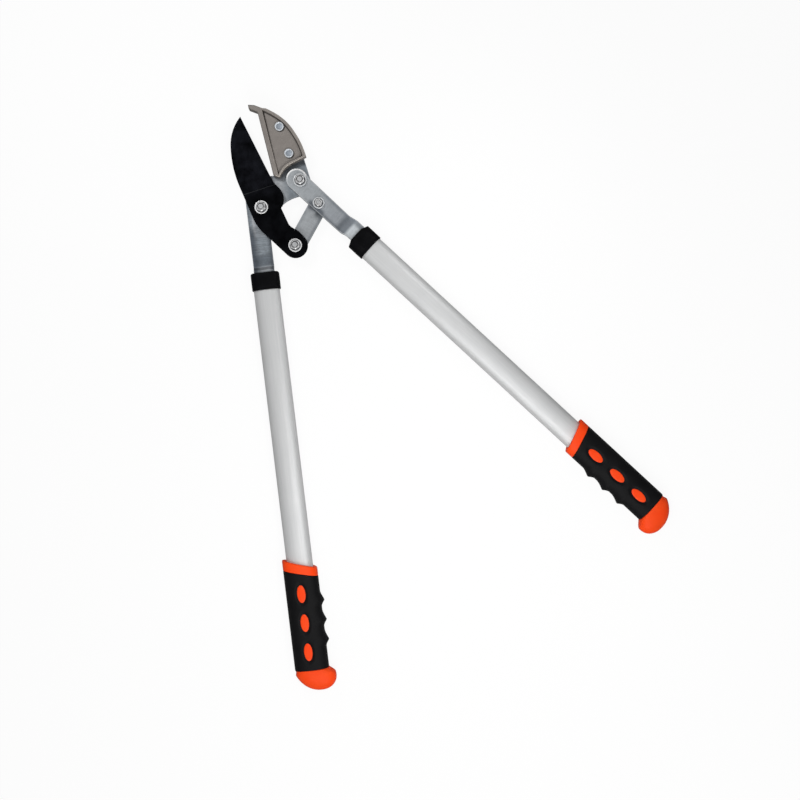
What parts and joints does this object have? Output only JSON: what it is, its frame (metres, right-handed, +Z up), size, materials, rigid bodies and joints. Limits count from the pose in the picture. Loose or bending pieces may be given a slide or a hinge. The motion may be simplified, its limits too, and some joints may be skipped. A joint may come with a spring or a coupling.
{
  "type": "anvil lopper",
  "caption": "Two-handed anvil lopper: a straight-edged blade closes on a hooked anvil through a lever and link, with oval tube handles and finger grips.",
  "frame": {"origin": "on the axis of the main pivot, at the level of the surface that the tool lies on", "axes": "+Y along the anvil-side handle towards the cutting head, +X towards the lever-side handle, +Z up, away from the surface"},
  "size_m": [0.4702, 0.7042, 0.0285],
  "materials": {
    "galvanised_steel": "galvanised, with fine rolling marks",
    "bright_zinc": "bright zinc plate",
    "cast_anvil": "matt warm grey coating",
    "black_coated_steel": "matt black low-friction coating",
    "satin_aluminium": "satin",
    "black_plastic": "fine moulded grain",
    "orange_plastic": "smooth moulded",
    "soft_cover": "soft touch"
  },
  "bodies": {
    "anvil_side": {"anvil_arm": "galvanised_steel", "anvil": "cast_anvil", "anvil_rivet_upper": "bright_zinc", "anvil_rivet_lower": "bright_zinc", "main_pivot_bolt": "bright_zinc", "main_pivot_head_washer": "bright_zinc", "main_pivot_spacer": "bright_zinc", "main_pivot_nut_washer": "bright_zinc", "main_pivot_nut": "bright_zinc", "blade_pivot_bolt": "bright_zinc", "blade_pivot_head_washer": "bright_zinc", "blade_pivot_spacer": "bright_zinc", "blade_pivot_nut_washer": "bright_zinc", "blade_pivot_nut": "bright_zinc", "anvil_side_collar": "black_plastic", "anvil_side_tube": "satin_aluminium", "anvil_side_tang_insert": "black_plastic", "anvil_side_tang_pin": "bright_zinc", "anvil_side_grip_core": "orange_plastic", "anvil_side_grip_cover": "soft_cover"},
    "lever_side": {"lever_arm": "galvanised_steel", "lever_link_bolt": "bright_zinc", "lever_link_head_washer": "bright_zinc", "lever_link_spacer": "bright_zinc", "lever_link_nut_washer": "bright_zinc", "lever_link_nut": "bright_zinc", "lever_side_collar": "black_plastic", "lever_side_tube": "satin_aluminium", "lever_side_tang_insert": "black_plastic", "lever_side_tang_pin": "bright_zinc", "lever_side_grip_core": "orange_plastic", "lever_side_grip_cover": "soft_cover"},
    "blade": {"blade": "black_coated_steel", "blade_link_bolt": "bright_zinc", "blade_link_head_washer": "bright_zinc", "blade_link_spacer": "bright_zinc", "blade_link_nut_washer": "bright_zinc", "blade_link_nut": "bright_zinc"},
    "link": {"link": "galvanised_steel"}
  },
  "joints": [
    {"name": "lever_hinge", "type": "hinge", "parent": "anvil_side", "child": "lever_side", "pos_m": [0, 0, 0], "axis": [0, 0, 1], "range_deg": [-21.8, 35]},
    {"name": "blade_hinge", "type": "hinge", "parent": "anvil_side", "child": "blade", "pos_m": [-0.0497, -0.0267, 0], "axis": [0, 0, 1], "range_deg": [-12.7, 20.4]},
    {"name": "link_hinge", "type": "hinge", "parent": "lever_side", "child": "link", "pos_m": [0.01882, -0.02968, 0], "axis": [0, 0, 1], "range_deg": [-35.1, 21.9]}
  ],
  "couplings": [
    {"joint": "blade_hinge", "follows": "lever_hinge", "ratio": 0.578},
    {"joint": "link_hinge", "follows": "lever_hinge", "ratio": -1}
  ]
}
